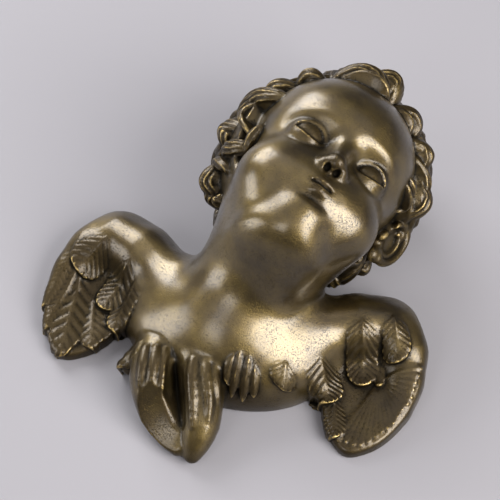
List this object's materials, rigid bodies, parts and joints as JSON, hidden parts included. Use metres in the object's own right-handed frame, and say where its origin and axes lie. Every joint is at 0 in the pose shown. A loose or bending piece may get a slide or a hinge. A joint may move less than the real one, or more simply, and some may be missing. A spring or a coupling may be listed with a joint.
{
  "type": "statue",
  "caption": "Small bronze statue of an angel: a winged cherub's head and chest with curly hair, face tilted up, flat behind so that it lies or hangs on its back.",
  "frame": {"origin": "on the flat back, behind the chest and between the wings", "axes": "+Z out of the figure's front, away from the flat back it lies on; +Y from the tail feathers to the crown; +X to the right of someone who faces the figure"},
  "size_m": [0.155, 0.1657, 0.0801],
  "materials": {
    "bronze": "olive-brown patina, rubbed golden on raised edges, dark in the hollows, satin gloss"
  },
  "bodies": {
    "root": {"cherub_head_with_wings": "bronze"}
  },
  "joints": []
}
